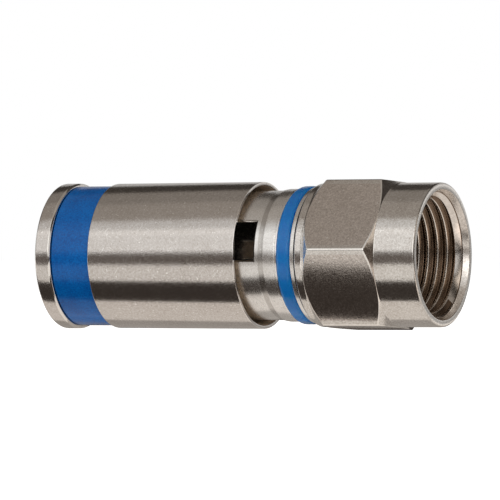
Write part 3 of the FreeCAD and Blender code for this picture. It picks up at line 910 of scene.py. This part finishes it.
one_pitch = [
    (-CREST_WIDTH / 2 - THREAD_EASE * 0.6, CREST_RADIUS + THREAD_EASE * 1.7),
    (-CREST_WIDTH / 2 + THREAD_EASE, CREST_RADIUS + THREAD_EASE * 0.3),
    (0, CREST_RADIUS),
    (CREST_WIDTH / 2 - THREAD_EASE, CREST_RADIUS + THREAD_EASE * 0.3),
    (CREST_WIDTH / 2 + THREAD_EASE * 0.6, CREST_RADIUS + THREAD_EASE * 1.7),
    (CREST_WIDTH / 2 + FLANK_LENGTH - THREAD_EASE * 0.6, ROOT_RADIUS - THREAD_EASE),
    (CREST_WIDTH / 2 + FLANK_LENGTH + THREAD_EASE, ROOT_RADIUS),
    (PITCH - CREST_WIDTH / 2 - FLANK_LENGTH - THREAD_EASE, ROOT_RADIUS),
    (PITCH - CREST_WIDTH / 2 - FLANK_LENGTH + THREAD_EASE * 0.6, ROOT_RADIUS - THREAD_EASE),
]


def past_mouth(station, radius):
    """How far a point lies beyond the cone at the bottom of the mouth."""
    return station + (MOUTH_FLOOR_RADIUS - radius) * LEAD_SLOPE - MOUTH_FLOOR


def cut_at(points, beyond):
    """Points in order, with all that lie beyond a surface drawn back to where the line meets it."""
    kept = [points[0]]
    stopped = None
    for before, here in zip(points, points[1:]):
        if stopped is None and beyond(*here) > 0:
            a, b = beyond(*before), beyond(*here)
            share = -a / (b - a)
            stopped = (before[0] + share * (here[0] - before[0]),
                       before[1] + share * (here[1] - before[1]))
        kept.append(here if stopped is None else stopped)
    return kept


def thread_section(angle):
    """Thread from the mouth back to the reference plane, at one angle round the axis."""
    turn_share = (math.pi - angle) % math.tau / math.tau
    points = []
    for turn in range(-TURNS_BEFORE, 3):
        start = FIRST_CREST + (turn + turn_share) * PITCH
        points += [(start + station, radius) for station, radius in one_pitch]
    points = cut_at(points, past_mouth)
    return cut_at(points[::-1], lambda station, radius: -station)


print("thread rows:", len(thread_section(0)), "pitch %.3f mm" % PITCH)

# %% [markdown]
# ### Outside, bore and seam
#
# The cones rise exactly to the hexagon's reach at each angle. The mouth narrows to a fine dark
# line, which a tool's corner leaves there. The thread's seam lies on the far side.

# %% Nut: build the columns
FINE_LINE = 0.08
SKIRT_RADIUS = 5.50
COLLAR_RADIUS = 5.50
NUT_REAR = -3.35
HEX_REAR = -2.72
HEX_FRONT = 3.30
REAR_SLOPE = math.tan(math.radians(45))
FRONT_SLOPE = math.tan(math.radians(30))
LIP_BORE = 3.45
LIP_FRONT = -1.15
RELIEF_RADIUS = 4.8125
EDGE_EASE = 0.09


def outside_of_nut(angle):
    """Outer profile of the nut at one angle, from the rear face to the mouth."""
    reach = hexagon_reach(angle)
    above = reach - SKIRT_RADIUS
    return rounded([
        (NUT_REAR, LIP_BORE, 0.03),
        (NUT_REAR, SKIRT_RADIUS, 0.12),
        (HEX_REAR, SKIRT_RADIUS, 0.20),
        (HEX_REAR + above * REAR_SLOPE, reach, EDGE_EASE),
        (HEX_FRONT - above * FRONT_SLOPE, reach, EDGE_EASE),
        (HEX_FRONT, COLLAR_RADIUS, 0.06),
        (NUT_FRONT, COLLAR_RADIUS, 0.18),
        (NUT_FRONT, 4.98, 0.04),
        (MOUTH_FLOOR + FINE_LINE, MOUTH_FLOOR_RADIUS + 0.03, 0),
        (MOUTH_FLOOR + 0.05, MOUTH_FLOOR_RADIUS + 0.07, 0),
        (MOUTH_FLOOR, MOUTH_FLOOR_RADIUS, 0.02),
    ], closed=False)


def bore_of_nut():
    """Bore of the nut behind the thread, with the recess of the inner seal."""
    return rounded([
        (0, RELIEF_RADIUS, 0),
        (LIP_FRONT, RELIEF_RADIUS, 0.05),
        (LIP_FRONT, LIP_BORE, 0.03),
        (-1.85, LIP_BORE, 0),
        (-1.85, 4.10, 0),
        (-2.65, 4.10, 0),
        (-2.65, LIP_BORE, 0),
    ], closed=False)


def make_nut():
    """Coupling nut as columns round the axis, with the thread joined one pitch on at the seam."""
    angles = sorted(nut_angles, key=lambda angle: (math.pi - angle) % math.tau)
    rows_per_pitch = len(one_pitch)
    points, outer_rows, thread_rows = [], 0, 0
    for angle in angles:
        outer = outside_of_nut(angle)
        thread = thread_section(angle)
        column = outer + thread + bore_of_nut()
        outer_rows, thread_rows = len(outer), len(thread)
        points += [around(station, radius, angle) for station, radius in column]
    rows = len(points) // len(angles)
    last_thread_row = outer_rows + thread_rows - 1

    def at_seam(row):
        if outer_rows <= row <= last_thread_row:
            return max(outer_rows, row - rows_per_pitch)
        return row

    faces = []
    for number in range(len(angles)):
        seam = number == len(angles) - 1
        there = 0 if seam else (number + 1) * rows
        for row in range(rows):
            following = (row + 1) % rows
            far_row = at_seam(row) if seam else row
            far_following = at_seam(following) if seam else following
            faces.append((number * rows + row, there + far_row,
                          there + far_following, number * rows + following))
    piece = as_object("nut", points, faces)
    finish_mesh(piece)
    return piece


nut = make_nut()
dress(nut, nut_nickel, "nut", "coupling_nut")

# %% [markdown]
# ### The nut's finishes
#
# The flats keep the grain of the drawn bar. Its corners are worn to a narrow flat, and they and the
# front edges get a lighter colour, a painted highlight. The thread's grooves get a dark brown
# colour, painted shade, and its crests a light one, a painted highlight. The mouth's wall and the
# lead into the thread are lightened too, painted light.

# %% Nut: its own finishes on the flats, in the thread and in the mouth
def on_hexagon(middle, radius, outward):
    """Whether a face lies on the hexagon's sides."""
    return outward > 0.9 and radius > SKIRT_RADIUS + 0.02 and HEX_REAR < middle.x < HEX_FRONT


def on_worn_corner(middle, radius, outward):
    """Whether a face lies on the narrow worn flat along a corner of the hexagon."""
    angle = math.atan2(middle.z, -middle.y)
    off_corner = abs((angle - NUT_TURN + SIXTH / 2) % SIXTH - SIXTH / 2)
    return on_hexagon(middle, radius, outward) and off_corner < 1.3 * worn_angle


def on_front_edge(middle, radius, outward):
    """Whether a face lies on the rounded edge between a flat and the front chamfer."""
    return 0.56 < outward < 0.93 and radius > SKIRT_RADIUS + 0.04 and 1 < middle.x < HEX_FRONT


def in_thread(middle, radius, outward):
    """Whether a face lies in the thread, or in the fine line at the mouth's floor."""
    if radius > MOUTH_FLOOR_RADIUS:
        return radius < 4.9 and MOUTH_FLOOR < middle.x < MOUTH_FLOOR + FINE_LINE
    return radius < MOUTH_FLOOR_RADIUS and 0 < middle.x < MOUTH_FLOOR


def on_crest(middle, radius, outward):
    """Whether a face lies on a crest of the thread or on its rounded edges."""
    return in_thread(middle, radius, outward) and radius < CREST_RADIUS + 0.045


def in_mouth(middle, radius, outward):
    """Whether a face lies on the wall of the mouth."""
    return radius < MOUTH_FLOOR_RADIUS + 0.23 and MOUTH_FLOOR + FINE_LINE < middle.x < NUT_FRONT


def on_lead(middle, radius, outward):
    """Whether a face lies on the cone that leads from the mouth into the thread."""
    on_cone = abs(past_mouth(middle.x, radius)) < 0.012
    return radius < MOUTH_FLOOR_RADIUS and middle.x < MOUTH_FLOOR and on_cone


finish_where(nut, flat_nickel, on_hexagon)
finish_where(nut, edge_highlight_nickel, on_worn_corner)
finish_where(nut, edge_highlight_nickel, on_front_edge)
finish_where(nut, groove_nickel_painted_shade, in_thread)
finish_where(nut, crest_nickel_painted_highlight, on_crest)
finish_where(nut, mouth_nickel_painted_light, in_mouth)
finish_where(nut, lead_nickel_painted_light, on_lead)

# %% [markdown]
# ## Floor and light
#
# The studio is plain: a pale floor under the connector, pale all round, and long soft lamps
# parallel to its axis. A polished cylinder mirrors what lies round its axis, so each lamp draws
# one long band on it, and the dark gaps between lamps draw the dark bands. Their order was read
# from the photograph: a pale table in front and behind below, a dark gap between, the large soft
# lamp above the camera, and a dimmer ceiling.
#
# Strips at the table's height stand in for the table, and cards at the ends light the thread,
# the mouth and the rim.

# %% Lamps
def lamp(name, middle, facing, width, length, radiance, colour, along=(1, 0, 0)):
    """Soft rectangular lamp of a given radiance, with its length along a direction."""
    light = bpy.data.lights.new(name, "AREA")
    light.shape = "RECTANGLE"
    light.size = length
    light.size_y = width
    light.energy = radiance * width * length * LAMP_WATTS
    light.color = colour
    lamp_object = bpy.data.objects.new(name, light)
    bpy.context.scene.collection.objects.link(lamp_object)
    along = Vector(along)
    back = -Vector(facing).normalized()
    turned_axes = Matrix((along, back.cross(along), back)).transposed().to_4x4()
    lamp_object.matrix_world = Matrix.Translation(middle) @ turned_axes
    lamp_object.visible_camera = False
    return lamp_object


LAMP_WATTS = math.pi
LAMP_RING = 0.40
LAMP_REAR_END = -0.485
LAMP_FRONT_END = 0.40
NEUTRAL = (1.0, 0.985, 0.965)
WARM = (1.0, 0.91, 0.82)
ring_of_lamps = [
    ("level", -14, 3, 0.11, (1.0, 0.86, 0.78)),
    ("level_high", 3, 6, 0.36, NEUTRAL),
    ("key_low", 6, 13, 0.97, NEUTRAL),
    ("key", 13, 33, 0.88, NEUTRAL),
    ("key_high", 33, 42, 1.02, NEUTRAL),
    ("key_fade", 42, 58, 0.66, NEUTRAL),
    ("ceiling", 58, 92, 0.33, WARM),
    ("ceiling_back", 92, 122, 0.24, WARM),
    ("back_high", 122, 150, 0.03, WARM),
    ("backdrop", 150, 178, 0.50, NEUTRAL),
]
for lamp_name, from_angle, to_angle, radiance, colour in ring_of_lamps:
    middle_angle = math.radians((from_angle + to_angle) / 2)
    across = 2 * LAMP_RING * math.tan(math.radians(to_angle - from_angle) / 2)
    out = Vector((0, -math.cos(middle_angle), math.sin(middle_angle)))
    middle = out * LAMP_RING + Vector(((LAMP_REAR_END + LAMP_FRONT_END) / 2, 0, 0))
    lamp(lamp_name, middle, -out, across, LAMP_FRONT_END - LAMP_REAR_END, radiance, colour)

TABLE_DEPTH = -6.6
strips_of_table = [
    ("table_front", -400, 45, -29, -10.5, 0.77, (1.0, 0.96, 0.91)),
    ("table_dark", -400, 45, -10.5, -5.03, 0.025, (1.0, 0.84, 0.76)),
    ("table_under", -400, 7.5, -5.03, -1.4, 0.72, (1.0, 0.93, 0.86)),
    ("table_shade", -400, 7.5, -1.4, 4.5, 0.36, (1.0, 0.93, 0.86)),
    ("table_behind", -400, 7.5, 4.5, 30, 0.03, (1.0, 0.88, 0.80)),
    ("table_open", 7.5, 45, -5.03, 26, 0.66, (1.0, 0.93, 0.86)),
]
for lamp_name, rear, front, near, far, radiance, colour in strips_of_table:
    middle = Vector(((rear + front) / 2, (near + far) / 2, TABLE_DEPTH)) * MM
    strip = lamp(lamp_name, middle, (0, 0, 1), (far - near) * MM, (front - rear) * MM,
                 radiance, colour)
    strip.visible_diffuse = far < 0

END_DISTANCE = 0.50
ends = [
    ("end_high", 0.095, 0.32, 0.78, (1.0, 0.88, 0.76)),
    ("end_level", -0.08, 0.095, 0.06, (1.0, 0.75, 0.58)),
    ("end_low", -0.32, -0.08, 0.50, (1.0, 0.82, 0.70)),
]
for lamp_name, low, high, radiance, colour in ends:
    middle = Vector((END_DISTANCE, 0.05, (low + high) / 2))
    lamp(lamp_name, middle, (-1, 0, 0), 0.35, high - low, radiance, colour, along=(0, 0, 1))

lamp("card_behind", Vector((0.22, 0.42, 0)), (0, -1, 0), 0.14, 0.34, 0.38, NEUTRAL)
lamp("rear_card", Vector((-0.49, -0.10, 0.05)), (1, 0, 0), 0.34, 0.40, 0.85, NEUTRAL,
     along=(0, 0, 1))
card_near, card_far = Vector((0.09, -0.46, 0.12)), Vector((0.44, -0.16, 0.12))
card_along = (card_far - card_near).normalized()
lamp("white_card", (card_near + card_far) / 2, Vector((-card_along.y, card_along.x, 0)),
     0.25, (card_far - card_near).length, 0.62, NEUTRAL, along=card_along)

# %% [markdown]
# ## Floor and room
#
# Pale paper that glows a little makes the white ground. It keeps out of reflections and shadows.
# The room is white for the camera but dim for the metal, which a white room would turn to chalk.

# %% Floor, world and colour handling
FLOOR_HEIGHT = -5.76 * MM
floor_mesh = bpy.data.meshes.new("floor")
reach = 3.0
floor_mesh.from_pydata([(-reach, -reach, FLOOR_HEIGHT), (reach, -reach, FLOOR_HEIGHT),
                        (reach, reach, FLOOR_HEIGHT), (-reach, reach, FLOOR_HEIGHT)],
                       [], [(0, 1, 2, 3)])
floor = bpy.data.objects.new("floor", floor_mesh)
bpy.context.scene.collection.objects.link(floor)
floor_paper = bpy.data.materials.new("pale_paper")
floor_paper.use_nodes = True
paper = floor_paper.node_tree.nodes["Principled BSDF"]
paper.inputs["Base Color"].default_value = (0.9, 0.9, 0.9, 1)
paper.inputs["Roughness"].default_value = 0.9
paper.inputs["Specular IOR Level"].default_value = 0.0
paper.inputs["Emission Color"].default_value = (1, 1, 1, 1)
paper.inputs["Emission Strength"].default_value = 1.0
floor_mesh.materials.append(floor_paper)
floor.visible_glossy = False
floor.visible_diffuse = False
floor.visible_shadow = False

world = bpy.data.worlds.new("pale_room")
bpy.context.scene.world = world
world.use_nodes = True
tree = world.node_tree
room = tree.nodes["Background"]
dim = tree.nodes.new("ShaderNodeBackground")
seen = tree.nodes.new("ShaderNodeLightPath")
either = tree.nodes.new("ShaderNodeMixShader")
room.inputs["Color"].default_value = (1, 1, 1, 1)
room.inputs["Strength"].default_value = 1.0
dim.inputs["Color"].default_value = (1.0, 0.80, 0.66, 1)
dim.inputs["Strength"].default_value = 0.022
tree.links.new(seen.outputs["Is Camera Ray"], either.inputs["Fac"])
tree.links.new(dim.outputs["Background"], either.inputs[1])
tree.links.new(room.outputs["Background"], either.inputs[2])
tree.links.new(either.outputs["Shader"], tree.nodes["World Output"].inputs["Surface"])
bpy.context.scene.view_settings.view_transform = "Standard"
print("floor at %.2f mm" % (FLOOR_HEIGHT / MM))
